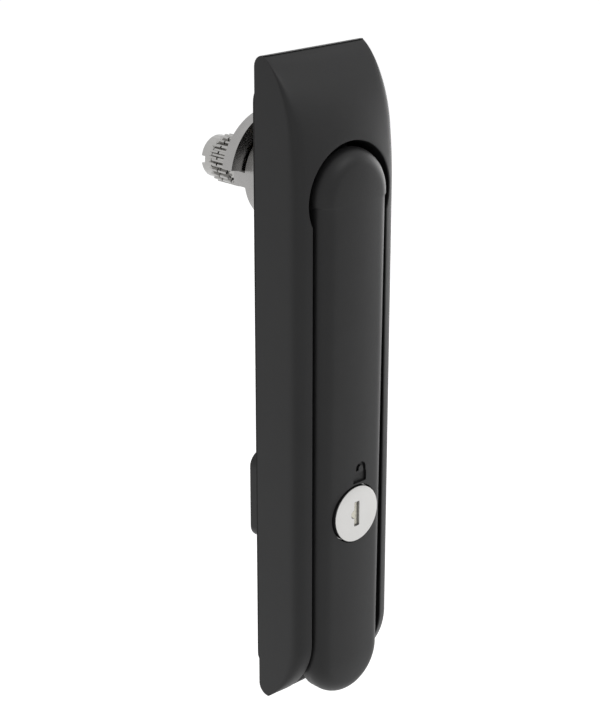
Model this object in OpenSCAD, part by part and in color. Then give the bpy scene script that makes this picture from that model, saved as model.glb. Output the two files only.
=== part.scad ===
// Swing handle latch for a cabinet door.
// X runs across the handle, Y from the front (negative) to the back (positive), Z upwards.
// The origin is the centre of the back face of the housing, where the gasket meets it.

/* [Housing] */
// Overall length of the housing
housing_length = 200; // [180:1:240]
// Overall width of the housing
housing_width = 39.2; // [38.6:0.1:46]
// Depth of the flat sides, from the back face
side_depth = 12.2; // [11:0.1:14]
// Depth of the front along its middle
front_depth = 20.3; // [19:0.1:22]
// Share of the front's rise that lies in its corners, the rest being its arch
corner_share = 0.65; // [0.5:0.05:0.9]
// Run of the rounded corner between side and front
corner_run = 5.1; // [4:0.1:9]
// Fullness of that corner, from a round one to a square one
corner_fullness = 4; // [2:0.5:5]
// Length of the quarter ellipse that sweeps each end of the sides
end_sweep = 22.9; // [18:0.1:28]
// Length of the swept part of the front, from each end
crown_sweep = 40; // [30:1:45]
// Rounding of the back edge at both ends
nose_radius = 3.4; // [2:0.1:4.5]
// Half width of the channel that takes the lever
channel_half = 14.8; // [14.6:0.1:16]
// Radius of the round pocket at the top of the channel
pocket_radius = 16.1; // [16:0.1:17.5]
// Height of the centre of the pocket and of the lever's head
pocket_z = 59.5; // [58:0.5:60.5]
// Depth of the front face of the channel floor, from the back face
floor_front = 5; // [4.6:0.1:5.4]
// Depth of the recess behind the channel floor
floor_back = 2.4; // [2:0.1:2.8]
// Thickness of the ribs behind the housing
housing_rib = 1.6; // [1:0.1:2.4]
// Width of the coring slots in the side walls
core_slot = 1.5; // [0.8:0.1:2]

/* [Gasket] */
// Thickness of the gasket
gasket_thickness = 1; // [0.6:0.1:2]
// Distance of the gasket from the ends of the housing
gasket_end_margin = 7.5; // [5:0.1:12]
// Distance of the gasket from the sides of the housing
gasket_side_margin = 0.3; // [0.1:0.1:1]
// Corner radius of the gasket
gasket_corner = 6; // [3:0.5:10]

/* [Lever] */
// Half width of the lever
lever_half = 13.7; // [13.5:0.1:14]
// Radius of the domed head of the lever
lever_head_radius = 14.2; // [14:0.1:14.5]
// Depth of the crest of the lever at the pivot, from the back face
lever_crest = 22.7; // [22:0.1:24]
// Depth of the back edge of the lever at the pivot
lever_back = 7.3; // [7:0.1:8]
// Height of the lower end of the lever
lever_end_z = -96; // [-98:0.5:-92]
// Tilt of the lever towards the housing, in degrees
lever_tilt = 0.4; // [0:0.05:0.5]
// Corner radius of the front of the lever
lever_corner = 5.6; // [4:0.1:7]
// Rise of the arched front of the lever at its middle
lever_arch = 0.7; // [0.2:0.1:1.2]
// Wall of the lever
lever_wall = 2.4; // [2:0.1:2.6]
// Height of the finger scoop behind the lower end of the lever
scoop_length = 15; // [10:0.5:18]
// Depth of the back of the lever at the finger scoop
scoop_depth = 12.5; // [11.5:0.1:14]

/* [Pivot] */
// Height of the spindle axis and of the lever pivot
spindle_z = 61.5; // [58:0.5:64]
// Depth of the pivot pin, from the back face
pivot_depth = 12; // [11.5:0.1:12.5]
// Radius of the pivot pin
pin_radius = 2.5; // [2:0.1:2.8]
// Half width of the pivot block
block_half = 8; // [7:0.1:8.4]
// Radius of the eye of the pivot block
eye_radius = 6; // [5.4:0.1:6.4]
// Wall of the pivot bushes
bush_wall = 1; // [0.6:0.1:1.4]

/* [Spindle] */
// Radius of the spindle in its bearing
journal_radius = 8; // [7.6:0.1:8.8]
// Outer radius of the bearing behind the housing
bearing_radius = 14.3; // [13.2:0.1:14.4]
// Height of the bearing behind the back face
bearing_height = 10.2; // [9:0.1:14]
// Outer radius of the stop disc
disc_radius = 19; // [16:0.1:21]
// Thickness of the stop disc
disc_thickness = 4; // [3:0.1:5]
// Outer radius of the serrations of the spindle
serration_radius = 7.4; // [7.3:0.05:7.6]
// Number of serrations round the spindle
serration_count = 24; // [16:1:28]
// Radius of the slotted end of the spindle
spindle_end_radius = 6.5; // [5.5:0.05:6.5]
// Length of the slotted end behind the serrations
spindle_end_length = 4.4; // [4:0.1:8]
// Distance of the rear end of the spindle from the back face
spindle_reach = 38.2; // [36:0.1:60]
// Width of the slot in the end of the spindle
end_slot = 2.3; // [1.2:0.1:2.6]

/* [Lock] */
// Height of the lock axis
lock_z = -37.7; // [-40:0.1:-34]
// Radius of the bright lock face
face_radius = 8.8; // [8.6:0.1:9.2]
// Depth of the lock face, from the back face
face_depth = 22.45; // [22.3:0.05:22.8]
// Radius of the lock barrel
barrel_radius = 8.4; // [8:0.1:8.4]
// Radius of the lock plug
plug_radius = 6; // [5.8:0.1:6.2]
// Height of the keyway
keyway_height = 7.8; // [6:0.1:8.4]
// Width of the keyway
keyway_width = 2; // [1.6:0.1:2.4]
// Reach of the locking tongue from the lock axis
tongue_reach = 9.6; // [8:0.1:9.8]
// Half width of the locking tongue
tongue_half = 3.6; // [3.4:0.1:4]
// Side of the square lock box behind the housing
box_side = 28.6; // [28.4:0.1:28.8]
// Height of the lock box behind the back face
box_height = 9.1; // [8.6:0.1:14]
// Corner radius of the lock box
box_corner = 4.5; // [3:0.1:6]
// Wall of the lock box
box_wall = 2; // [1.6:0.1:2.1]

/* [Fixing] */
// Height of the upper threaded insert
upper_fixing_z = 87; // [86:0.5:88]
// Height of the lower threaded insert
lower_fixing_z = -66; // [-67:0.5:-65]
// Outer radius of the threaded inserts
insert_radius = 3.5; // [3.2:0.1:3.6]
// Bore radius of the threaded inserts
insert_bore = 2.1; // [1.6:0.05:2.2]
// Length of the threaded inserts
insert_length = 8; // [6:0.1:8.4]

/* [Hidden] */
$fn = 64;
// Radial play of a running fit, and of a piece pressed into its seat
fit = 0.05;
press = 0.02;
// Play of a loose seat, and the gap between pieces that pass each other
slip = 0.15;
gap = 0.3;
// Overrun of cutters past a face
over = 1;
half_length = housing_length / 2;
half_width = housing_width / 2;
sweep_start = half_length - end_sweep * sqrt(1 - pow(nose_radius / side_depth, 2));
crown_start = half_length - crown_sweep;
crown_rise = front_depth - side_depth;
far = housing_length;
// Places on the spindle
floor_hole = journal_radius + 1;
base_radius = journal_radius + 2.2;
collar_radius = journal_radius + 2;
collar_length = 2;
block_base = 2.3;
disc_start = bearing_height + 0.8;
disc_end = disc_start + disc_thickness;
ring_start = disc_end + slip;
ring_thickness = 1.2;
serration_end = spindle_reach - spindle_end_length;
serration_row = 3.4;
row_gap = 0.6;
serration_start = serration_end - 2 * serration_row - row_gap;
serration_depth = 1.1;
shaft_radius = serration_radius - serration_depth;
square_half = serration_radius + 0.1;
seat_radius = journal_radius - fit;
flange_lobe = 5.1;
flange_corner = 5;
flange_reach = bearing_radius + flange_lobe;
screw_offset = bearing_radius + 2.4;
screw_radius = 1.1;
screw_head = 2.1;
screw_head_height = 1.2;
screw_point = 0.6;
screw_length = floor_front - 0.4;
// Places in the lock
rim_depth = face_depth - 2.25;
rim_thickness = 1.2;
rim_radius = face_radius + 0.3;
barrel_end = 3.2;
plate_thickness = 1.5;
plate_ledge = 0.7;
tail_half = 3.2;
tongue_front = -0.2;
tongue_thickness = 2;
clip_depth = 9.45;
clip_thickness = 1.2;
clip_side = 20.4;
boss_end = clip_depth + fit;
// Window in the channel floor through which the locking tongue leaves with the lever
window_half = tongue_reach + 1;
window_corner = 2.5;

// Extrudes a drawing of X and Z along Y, from one depth to another
module along_y(low, high) {
    translate([0, high, 0])
        rotate([90, 0, 0])
            linear_extrude(high - low) children();
}

// Round bar along Y at a given height
module rod_y(radius, low, high, height = 0, side = 0) {
    translate([side, high, height])
        rotate([90, 0, 0])
            cylinder(h = high - low, r = radius);
}

// Round bar along X through a given place in Y and Z
module rod_x(radius, low, high, depth, height) {
    translate([low, -depth, height])
        rotate([0, 90, 0])
            cylinder(h = high - low, r = radius);
}

// Block given by its lower and upper corners
module block(low, high) {
    translate(low)
        cube(high - low);
}

// Rounded rectangle centred on the origin
module rounded_plate(width, height, corner) {
    square([width - 2 * corner, height], center = true);
    square([width, height - 2 * corner], center = true);
    for (sx = [-1, 1], sy = [-1, 1])
        translate([sx * (width / 2 - corner), sy * (height / 2 - corner)])
            circle(r = corner);
}

// Depth of the flat side at a given height
function side_at(z) = abs(z) <= sweep_start ? side_depth
    : side_depth * sqrt(1 - pow((abs(z) - sweep_start) / end_sweep, 2));

// Rise of the crown over the edge of the side at a given height
function crown_at(z) = abs(z) <= crown_start ? crown_rise
    : crown_rise * cos(90 * (abs(z) - crown_start) / crown_sweep);

// Depth of the rounded back edge at a given height
function back_at(z) = abs(z) <= half_length - nose_radius ? 0
    : nose_radius - sqrt(pow(nose_radius, 2) - pow(abs(z) - half_length + nose_radius, 2));

corner_steps = 10;
arch_steps = 8;
corner_start = half_width - corner_run;
// Distances from the middle of the points of one section's front, from the side inwards
front_places = concat(
    [for (i = [0:corner_steps - 1])
        corner_start + corner_run * pow(cos(90 * i / corner_steps), 2 / corner_fullness)],
    [for (i = [0:arch_steps / 2 - 1]) corner_start * (1 - 2 * i / arch_steps)]);

// Share of the crown that the front has risen by at a distance from the middle
function rise_at(x) = let (run = max(0, (x - corner_start) / corner_run))
    corner_share * pow(max(0, 1 - pow(run, corner_fullness)), 1 / corner_fullness)
    + (1 - corner_share) * (1 - pow(x / half_width, 2));

// Front of one section of the housing, from its left side to its right one
function front_points(z, side, crown) = concat(
    [for (x = front_places) [-x, -side - crown * rise_at(x), z]],
    [[0, -side - crown, z]],
    [for (i = [len(front_places) - 1:-1:0])
        let (x = front_places[i]) [x, -side - crown * rise_at(x), z]]);

// Thickness and crown left at the crest of both ends
crest_thickness = 0.5;
crest_crown = 0.4;
function section_points(z) =
    let (back = back_at(z), side = max(side_at(z), back + crest_thickness),
        crown = max(crown_at(z), crest_crown))
    concat([[half_width, -back, z], [-half_width, -back, z]], front_points(z, side, crown));

end_steps = 15;
section_size = 2 * len(front_places) + 3;
station_heights = [for (i = [0:end_steps]) crown_start + crown_sweep * sin(90 * i / end_steps)];
stations = concat([for (i = [end_steps:-1:0]) -station_heights[i]], station_heights);

// Skin between neighbouring sections, as triangles
function skin_faces(count) = [for (s = [0:count - 2], i = [0:section_size - 1])
    let (a = s * section_size + i, b = s * section_size + (i + 1) % section_size,
        c = a + section_size, d = b + section_size)
    each [[a, c, b], [b, c, d]]];

// Swept outer form of the housing, lofted through its sections
module housing_form() {
    count = len(stations);
    last = (count - 1) * section_size;
    polyhedron(
        points = [for (z = stations) each section_points(z)],
        faces = concat(skin_faces(count),
            [[for (i = [0:section_size - 1]) i]],
            [[for (i = [section_size - 1:-1:0]) last + i]]),
        convexity = 6);
}

// Rhomb-like flange with two screw lobes above and below a round or square boss
module flange_outline(extra) {
    rounded_plate(2 * bearing_radius + 2 * extra, 2 * flange_reach + 2 * extra, flange_corner);
}

skin_wall = 1.8;
slot_inner = channel_half + skin_wall;
core_cell = 16;
core_margin = 2;
core_count = floor((2 * sweep_start - 2 * core_margin) / (core_cell + housing_rib));

// Coring slots in the two side walls, opened from the back
module side_cores() {
    start = -core_count * (core_cell + housing_rib) / 2;
    for (i = [0:core_count - 1], side = [-1, 1])
        let (low = start + i * (core_cell + housing_rib), inner = side * slot_inner)
        block([min(inner, inner + side * core_slot), -side_depth + skin_wall, low],
            [max(inner, inner + side * core_slot), over, low + core_cell]);
}

recess_half = channel_half - 0.6;
recess_margin = 3;
recess_count = 8;
// Shallow recesses behind the channel floor, with ribs left between them
module back_recesses() {
    low = -half_length + gasket_end_margin + recess_margin;
    high = spindle_z - flange_reach - housing_rib;
    pitch = (high - low) / recess_count;
    for (i = [0:recess_count - 1])
        let (start = low + i * pitch)
        block([-recess_half, -floor_back, start + housing_rib], [recess_half, over, start + pitch]);
}

top_wall = 2.6;
top_side_wall = 3;
top_core_low = spindle_z + flange_reach + housing_rib;
top_core_high = half_length - gasket_end_margin - 1.5;
top_core_depth = side_at(top_core_high) - top_wall;
post_radius = insert_radius + 1.9;
post_height = insert_length + top_wall;

// Space in front of the channel floor, with the lower insert post left standing in it
module channel_space() {
    difference() {
        union() {
            block([-channel_half, -far / 2, -far], [channel_half, -floor_front, pocket_z]);
            rod_y(pocket_radius, -far / 2, -floor_front, pocket_z);
        }
        rod_y(post_radius, -post_height, 0, lower_fixing_z);
    }
}

// Hollow behind the swept top, with the upper insert post left standing in it
module top_space() {
    difference() {
        block([-half_width + top_side_wall, -top_core_depth, top_core_low],
            [half_width - top_side_wall, over, top_core_high]);
        rod_y(post_radius, -far / 2, 2 * over, upper_fixing_z);
    }
}

// Recesses behind the floor, clear of the rims round the two seats and of the lower post
module floor_space() {
    difference() {
        back_recesses();
        along_y(-far / 2, 2 * over)
            for (z = [spindle_z, lock_z])
                translate([0, z])
                    square([far, 2 * flange_reach + 2 * housing_rib], center = true);
        rod_y(post_radius, -far / 2, 2 * over, lower_fixing_z);
    }
}

// Seats of the bearing and the lock box, with the openings and screw holes through the floor
module seat_spaces() {
    for (z = [spindle_z, lock_z])
        along_y(-floor_back, over)
            translate([0, z]) flange_outline(slip);
    rod_y(floor_hole, -floor_front - over, 0, spindle_z);
    along_y(-floor_front - over, 0)
        translate([0, lock_z]) rounded_plate(2 * window_half, 2 * window_half, window_corner);
    for (z = [spindle_z, lock_z], sign = [-1, 1])
        rod_y(screw_radius + press, -screw_length, 0, z + sign * screw_offset);
}

post_collar_radius = insert_radius + 0.8;
post_collar_rise = 0.5;
// Housing: swept shell with channel, pocket, ribbed back, insert posts with collars, and seats
module housing() {
    color([0.13, 0.13, 0.14])
    difference() {
        union() {
            difference() {
                housing_form();
                channel_space();
                side_cores();
                floor_space();
                top_space();
                seat_spaces();
            }
            for (z = [upper_fixing_z, lower_fixing_z])
                rod_y(post_collar_radius, -insert_length / 2, post_collar_rise, z);
        }
        for (z = [upper_fixing_z, lower_fixing_z])
            rod_y(insert_radius + press, -insert_length, post_collar_rise + over, z);
    }
}

gasket_hole = insert_radius + 1.1;
// Gasket between the housing and the door, with openings for all that passes the door
module gasket() {
    color([0.08, 0.08, 0.08])
    along_y(0, gasket_thickness)
        difference() {
            rounded_plate(housing_width - 2 * gasket_side_margin,
                housing_length - 2 * gasket_end_margin, gasket_corner);
            translate([0, spindle_z]) circle(r = bearing_radius + gap);
            translate([0, lock_z]) rounded_plate(box_side + 2 * gap, box_side + 2 * gap, box_corner);
            for (z = [upper_fixing_z, lower_fixing_z])
                translate([0, z]) circle(r = gasket_hole);
        }
}

// Countersunk screw with its head flush at the back face
module countersunk_screw(height) {
    translate([0, 0, height])
        rotate([90, 0, 0])
            rotate_extrude()
                polygon([[0, 0], [screw_head, 0], [screw_radius, screw_head_height],
                    [screw_radius, screw_length - screw_point], [0, screw_length - 2 * fit]]);
}

// Countersunk hole for such a screw, open to the front
module countersink(height) {
    translate([0, 0, height])
        rotate([90, 0, 0])
            rotate_extrude()
                polygon([[0, -over], [screw_head + press, -over], [screw_head + press, 0],
                    [screw_radius + press, screw_head_height], [screw_radius + press, far], [0, far]]);
}

lug_inner = journal_radius + 3;
lug_outer = bearing_radius - 0.2;
// Angles between which the stop disc has its wide sector
disc_span = [8, 170];
quarter = 90;
lug_span = 18;
// Play in degrees between the disc's ends and the lugs that stop it
stop_play = 1.5;
rest_stop = disc_span[1] + stop_play;
turned_stop = disc_span[0] + 360 - quarter - stop_play;
lug_angles = [[rest_stop, rest_stop + lug_span], [turned_stop - lug_span, turned_stop]];

// Sector of a ring between two radii and two angles, drawn in X and Z
module ring_sector(inner, outer, from, to) {
    steps = 4;
    intersection() {
        difference() {
            circle(r = outer);
            circle(r = inner);
        }
        polygon(concat([[0, 0]], [for (i = [0:steps])
            let (a = from + (to - from) * i / steps) 2 * outer * [cos(a), sin(a)]]));
    }
}

// Die-cast bearing that carries the spindle, with two stop lugs behind it
module spindle_bearing() {
    color([0.72, 0.72, 0.7])
    difference() {
        union() {
            along_y(-floor_back, 0)
                translate([0, spindle_z]) flange_outline(0);
            rod_y(bearing_radius, -floor_back, bearing_height, spindle_z);
            along_y(bearing_height - over, disc_end)
                translate([0, spindle_z])
                    for (pair = lug_angles)
                        ring_sector(lug_inner, lug_outer, pair[0], pair[1]);
        }
        rod_y(base_radius + 2 * fit, -far, collar_length + 0.5, spindle_z);
        rod_y(journal_radius + fit, -over, far / 2, spindle_z);
        rod_y(journal_radius + gland_depth, gland_start, gland_start + gland_width, spindle_z);
        for (sign = [-1, 1])
            countersink(spindle_z + sign * screw_offset);
    }
}

gland_start = 5;
gland_width = 2;
gland_depth = 1.9;
seal_section = 0.84;

// Rubber seal ring in its groove inside the bearing
module seal_ring() {
    color([0.05, 0.05, 0.05])
    translate([0, gland_start + gland_width / 2, spindle_z])
        rotate([90, 0, 0])
            rotate_extrude()
                translate([journal_radius + gland_depth / 2 + fit, 0]) circle(r = seal_section);
}

// Two screws that hold the bearing in the housing
module bearing_screws() {
    color([0.7, 0.7, 0.72])
    for (sign = [-1, 1])
        countersunk_screw(spindle_z + sign * screw_offset);
}

// Two screws that hold the lock box in the housing
module box_screws() {
    color([0.7, 0.7, 0.72])
    for (sign = [-1, 1])
        countersunk_screw(lock_z + sign * screw_offset);
}

neck_half = eye_radius - 0.8;
// Head of the spindle that carries the lever on its pin
module pivot_block() {
    color([0.6, 0.6, 0.6])
    difference() {
        union() {
            rod_y(base_radius, -block_base, 0, spindle_z);
            block([-block_half, -pivot_depth, spindle_z - neck_half],
                [block_half, -over, spindle_z + neck_half]);
            rod_x(eye_radius, -block_half, block_half, pivot_depth, spindle_z);
        }
        rod_x(pin_radius + bush_wall + 2 * fit, -far, far, pivot_depth, spindle_z);
        corner_relief();
    }
}

// Rounds the edges of the block's neck where it passes the floor of the housing
module corner_relief() {
    difference() {
        rod_y(far, -pivot_depth, -block_base, spindle_z);
        rod_y(floor_hole - 0.2, -far, over, spindle_z);
    }
}

bush_flange = 0.8;
bush_rim = 1.2;
bush_gap = 0.4;
// Two flanged bushes in the eye of the pivot block
module pivot_bushes() {
    color([0.75, 0.72, 0.62])
    for (side = [0, 1])
        mirror([side, 0, 0])
            difference() {
                union() {
                    rod_x(pin_radius + bush_wall + fit, bush_gap, block_half,
                        pivot_depth, spindle_z);
                    rod_x(pin_radius + bush_wall + bush_rim, block_half, block_half + bush_flange,
                        pivot_depth, spindle_z);
                }
                rod_x(pin_radius + fit, -over, far, pivot_depth, spindle_z);
            }
}

pin_inset = 0.6;
// Steel pin on which the lever swings
module pivot_pin() {
    color([0.75, 0.75, 0.77])
    rod_x(pin_radius, -lever_half + pin_inset, lever_half - pin_inset, pivot_depth, spindle_z);
}

box_inner = box_side / 2 - box_wall;
// Moulded box behind the housing in which the locking tongue turns
module lock_box() {
    color([0.12, 0.12, 0.13])
    difference() {
        union() {
            along_y(-floor_back, 0)
                translate([0, lock_z]) flange_outline(0);
            along_y(-over, box_height)
                translate([0, lock_z]) rounded_plate(box_side, box_side, box_corner);
        }
        along_y(-floor_back - over, -floor_back + plate_thickness)
            translate([0, lock_z])
                rounded_plate(2 * box_inner + 4 * fit, 2 * box_inner + 4 * fit, box_corner - 1);
        along_y(-floor_back, box_height - box_wall)
            translate([0, lock_z])
                rounded_plate(2 * box_inner - 2 * plate_ledge, 2 * box_inner - 2 * plate_ledge,
                    box_corner - 2);
        for (sign = [-1, 1])
            countersink(lock_z + sign * screw_offset);
    }
}

catch_side = max(tongue_half + 1, tail_half + 2.2);
catch_low = tail_half + 3.3;
catch_high = tongue_reach + 0.7;
// Steel plate that the locking tongue turns behind
module catch_plate() {
    color([0.7, 0.7, 0.72])
    along_y(-floor_back, -floor_back + plate_thickness)
        difference() {
            translate([0, lock_z]) rounded_plate(2 * box_inner, 2 * box_inner, box_corner - 1);
            translate([-catch_side, lock_z - catch_low])
                square([2 * catch_side, catch_low + catch_high]);
        }
}

// Brass threaded inserts for the two fixing screws
module fixing_inserts() {
    color([0.8, 0.65, 0.3])
    for (z = [upper_fixing_z, lower_fixing_z])
        difference() {
            rod_y(insert_radius, -insert_length, 0, z);
            rod_y(insert_bore, -far, over, z);
        }
}

buffer_heights = [18, -12];
buffer_radius = 1.6;
buffer_inset = 1.8;
// Depth of the back edge of the tilted lever at a given height
function lever_back_at(z) = pivot_depth - (pivot_depth - lever_back) * cos(lever_tilt)
    - (spindle_z - z) * sin(lever_tilt);

// Rubber buffers on the channel floor, just under the side walls of the closed lever
module lever_buffers() {
    color([0.05, 0.05, 0.05])
    for (z = buffer_heights, side = [-1, 1])
        rod_y(buffer_radius, -lever_back_at(z) + gap, -floor_front, z,
            side * (lever_half - buffer_inset));
}

// Half outline of the lever's section, from its middle to its side, drawn in X and depth
function lever_outline(half, back, front, corner) =
    let (steps = 6, shoulder = front - lever_arch)
    concat([[0, back], [half, back]],
        [for (i = [0:steps]) let (a = 90 * i / steps)
            [half - corner + corner * cos(a), shoulder - corner + corner * sin(a)]],
        [for (i = [1:3]) let (t = 1 - i / 3)
            [(half - corner) * t, front - lever_arch * t * t]]);

// Straight bar with the lever's section between two heights
module lever_bar(half, back, front, corner, low, high) {
    profile = lever_outline(half, back, front, corner);
    translate([0, 0, low])
        linear_extrude(high - low)
            for (side = [0, 1])
                mirror([side, 0])
                    polygon([for (p = profile) [p[0], -p[1]]]);
}

// Domed end with the lever's section turned round an axis along Y
module lever_dome(half, back, front, corner, height) {
    profile = lever_outline(half, back, front, corner);
    translate([0, 0, height])
        rotate([90, 0, 0])
            rotate_extrude()
                polygon(profile);
}

head_skirt = pivot_depth + 4.3;
head_step = 1;
tip_z = lever_end_z + lever_half;
// Outer or inner form of the lever, made smaller all round by an inset
module lever_form(inset) {
    half = lever_half - inset;
    front = lever_crest - inset;
    corner = max(lever_corner - inset, inner_corner);
    back = lever_back - (inset > 0 ? over : 0);
    lever_bar(half, back, front, corner, tip_z, spindle_z - head_step + inset);
    lever_dome(half, inset > 0 ? back : scoop_depth, front, corner, tip_z);
    difference() {
        lever_dome(lever_head_radius - inset, inset > 0 ? back : head_skirt, front, corner, pocket_z);
        block([-far, -far, -far], [far, far, pocket_z - head_step]);
    }
}

inner_corner = 2;
ear_inner = block_half + 1.1;
ear_outer = lever_half - 0.5;
ear_radius = 5.2;
lock_boss = barrel_radius + 2.5;
lever_rib = 1.5;
rib_pitch = 15;
rib_margin = 2;
rib_depth = lever_back + 3;
rib_first = tip_z + 4;
rib_last = spindle_z - pocket_radius + 2;
rib_heights = [for (z = [rib_first:rib_pitch:rib_last])
    if (abs(z - lock_z) > lock_boss + rib_margin
        && abs(z - lower_fixing_z) > post_radius + rib_margin) z];
spine_side = 5;
spine_depth = lever_crest - 5;
spine_high = spindle_z - 12;

// Turns its children with the tilt of the closed lever about the pivot pin
module tilted() {
    translate([0, -pivot_depth, spindle_z])
        rotate([lever_tilt, 0, 0])
            translate([0, pivot_depth, -spindle_z]) children();
}

// Ribs and lock boss inside the lever
module lever_inside() {
    intersection() {
        tilted() lever_form(lever_wall / 3);
        union() {
            for (z = rib_heights)
                block([-far, -far, z - lever_rib / 2], [far, -rib_depth, z + lever_rib / 2]);
            for (side = [-1, 1])
                block([side * spine_side - lever_rib / 2, -far, tip_z],
                    [side * spine_side + lever_rib / 2, -spine_depth, spine_high]);
            rod_y(lock_boss, -far, -boss_end, lock_z);
        }
    }
}

// Lever: domed moulded shell with ribs, ears on the pin and a seat for the lock
module lever() {
    color([0.12, 0.12, 0.13])
    difference() {
        union() {
            difference() {
                tilted() lever_form(0);
                tilted() lever_form(lever_wall);
            }
            lever_inside();
            for (side = [0, 1])
                mirror([side, 0, 0])
                    rod_x(ear_radius, ear_inner, ear_outer, pivot_depth, spindle_z);
        }
        rod_x(pin_radius + press, -far, far, pivot_depth, spindle_z);
        rod_y(rim_radius + slip + fit, -far, -rim_depth + rim_thickness, lock_z);
        rod_y(barrel_radius + 2 * fit, -far, over, lock_z);
        scoop();
    }
}

// Space behind the lower end of the lever where a finger lifts it
module scoop() {
    block([-far, -scoop_depth, -far], [far, far, lever_end_z + scoop_length]);
}

clip_groove = 1;
// Fixed barrel of the lock, with grooves at its sides for the spring clip
module lock_barrel() {
    color([0.72, 0.72, 0.7])
    difference() {
        union() {
            rod_y(barrel_radius, -rim_depth, -barrel_end, lock_z);
            rod_y(rim_radius, -rim_depth, -rim_depth + rim_thickness, lock_z);
        }
        rod_y(plug_radius + fit, -far, far, lock_z);
        for (side = [-1, 1])
            block([side * (barrel_radius - clip_groove / 2) - clip_groove / 2,
                -clip_depth - press, lock_z - far / 2],
                [side * (barrel_radius - clip_groove / 2) + clip_groove / 2,
                -clip_depth + clip_thickness + fit, lock_z + far / 2]);
    }
}

// Spring clip that holds the barrel in the lever
module barrel_clip() {
    color([0.75, 0.75, 0.77])
    along_y(-clip_depth, -clip_depth + clip_thickness)
        difference() {
            translate([0, lock_z]) rounded_plate(clip_side, clip_side, inner_corner);
            translate([0, lock_z]) circle(r = barrel_radius + 2 * fit);
            translate([-barrel_radius + clip_groove - fit, lock_z - far])
                square([2 * (barrel_radius - clip_groove + fit), far]);
        }
}

keyway_bulge = 1.3;
// Keyway: a tall slot with a round bulge on its left
module keyway_outline(extra) {
    translate([0, lock_z])
        square([keyway_width + 2 * extra, keyway_height + 2 * extra], center = true);
    translate([-keyway_width / 2, lock_z]) circle(r = keyway_bulge + extra);
}

wafer_count = 5;
wafer_pitch = 1.7;
wafer_thickness = 1;
wafer_start = -rim_depth + 5.6;
wafer_half = 3.2;
wafer_reach = 5;
plug_front = -rim_depth;
plug_end = -barrel_end + 0.2;
keyway_end = wafer_start + wafer_count * wafer_pitch;
screw_hole = 1.6;
tail_end = tongue_front + tongue_thickness - 0.1;

// Rotating plug of the lock, with keyway, wafer slots and square tail
module lock_plug() {
    color([0.72, 0.68, 0.5])
    difference() {
        union() {
            rod_y(plug_radius, plug_front, plug_end, lock_z);
            block([-tail_half, plug_end - over, lock_z - tail_half],
                [tail_half, tail_end, lock_z + tail_half]);
        }
        along_y(-far, keyway_end) keyway_outline(2 * fit);
        for (i = [0:wafer_count - 1])
            let (y = wafer_start + i * wafer_pitch)
            block([-wafer_half - slip, y - 2 * fit, lock_z - wafer_reach - slip],
                [wafer_half + slip, y + wafer_thickness + 2 * fit, lock_z + wafer_reach + slip]);
        rod_y(screw_hole + press, plug_end - gap, far, lock_z);
    }
}

face_edge = 0.3;
face_spigot = plug_radius - 0.6;
// Bright face of the lock, turning with the plug
module lock_face() {
    color([0.85, 0.85, 0.85])
    difference() {
        union() {
            rod_y(face_radius, -face_depth + face_edge, -rim_depth - slip, lock_z);
            rod_y(face_radius - face_edge, -face_depth, -rim_depth - slip, lock_z);
            rod_y(face_spigot, -face_depth + over, -rim_depth, lock_z);
        }
        along_y(-far, far) keyway_outline(0);
    }
}

wafer_window = [keyway_width + 1.6, 6];
wafer_step = 0.3;
// Wafers of the lock, each with a window for the key
module lock_wafers() {
    color([0.8, 0.7, 0.4])
    for (i = [0:wafer_count - 1])
        along_y(wafer_start + i * wafer_pitch, wafer_start + i * wafer_pitch + wafer_thickness)
            translate([0, lock_z])
                difference() {
                    square([2 * wafer_half, 2 * wafer_reach], center = true);
                    translate([-0.4, wafer_step * (i % 3 - 1)])
                        square(wafer_window, center = true);
                }
}

hub_radius = tail_half + 1.6;
// Locking tongue that turns behind the catch plate
module lock_tongue() {
    color([0.75, 0.75, 0.77])
    along_y(tongue_front, tongue_front + tongue_thickness)
        difference() {
            union() {
                translate([-tongue_half, lock_z])
                    square([2 * tongue_half, tongue_reach - tongue_half / 2]);
                translate([-tongue_half / 2, lock_z])
                    square([tongue_half, tongue_reach]);
                for (side = [-1, 1])
                    translate([side * tongue_half / 2, lock_z + tongue_reach - tongue_half / 2])
                        circle(r = tongue_half / 2);
                translate([0, lock_z]) circle(r = hub_radius);
            }
            translate([0, lock_z])
                square(2 * tail_half + 2 * press, center = true);
        }
}

tongue_back = tongue_front + tongue_thickness;
washer_thickness = 0.6;
head_radius = 2.8;
head_height = 2.2;
cross_half = 2;
cross_width = 0.8;
// Screw and washer that hold the tongue on the tail of the plug
module tongue_screw() {
    color([0.7, 0.7, 0.72])
    difference() {
        union() {
            rod_y(screw_hole, plug_end, tongue_back + washer_thickness, lock_z);
            rod_y(hub_radius - 0.4, tongue_back, tongue_back + washer_thickness, lock_z);
            rod_y(head_radius, tongue_back + fit, tongue_back + head_height, lock_z);
        }
        for (half = [[cross_width / 2, cross_half], [cross_half, cross_width / 2]])
            block([-half[0], tongue_back + head_height - over, lock_z - half[1]],
                [half[0], far, lock_z + half[1]]);
    }
}

shutter_start = -face_depth + 0.7;
shutter_thickness = 1.2;
// Dust shutter that closes the keyway and gives way to the key
module keyway_shutter() {
    color([0.8, 0.78, 0.7])
    along_y(shutter_start, shutter_start + shutter_thickness)
        keyway_outline(-2 * fit);
}

// Shares of a pitch at which a tooth starts and ends at its tip, and the space at its foot
tooth_shares = [0, 0.32, 0.5, 0.82];
// Ring of serrations between two depths, drawn as one outline
module serration_ring(low, high) {
    along_y(low, high)
        translate([0, spindle_z])
            polygon([for (i = [0:serration_count - 1], k = [0:3])
                let (a = 360 * (i + tooth_shares[k]) / serration_count,
                    r = k < 2 ? serration_radius : shaft_radius)
                r * [cos(a), sin(a)]]);
}

groove_radius = shaft_radius - 0.6;
end_chamfer = 0.4;
end_slot_depth = 1.9;
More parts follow.
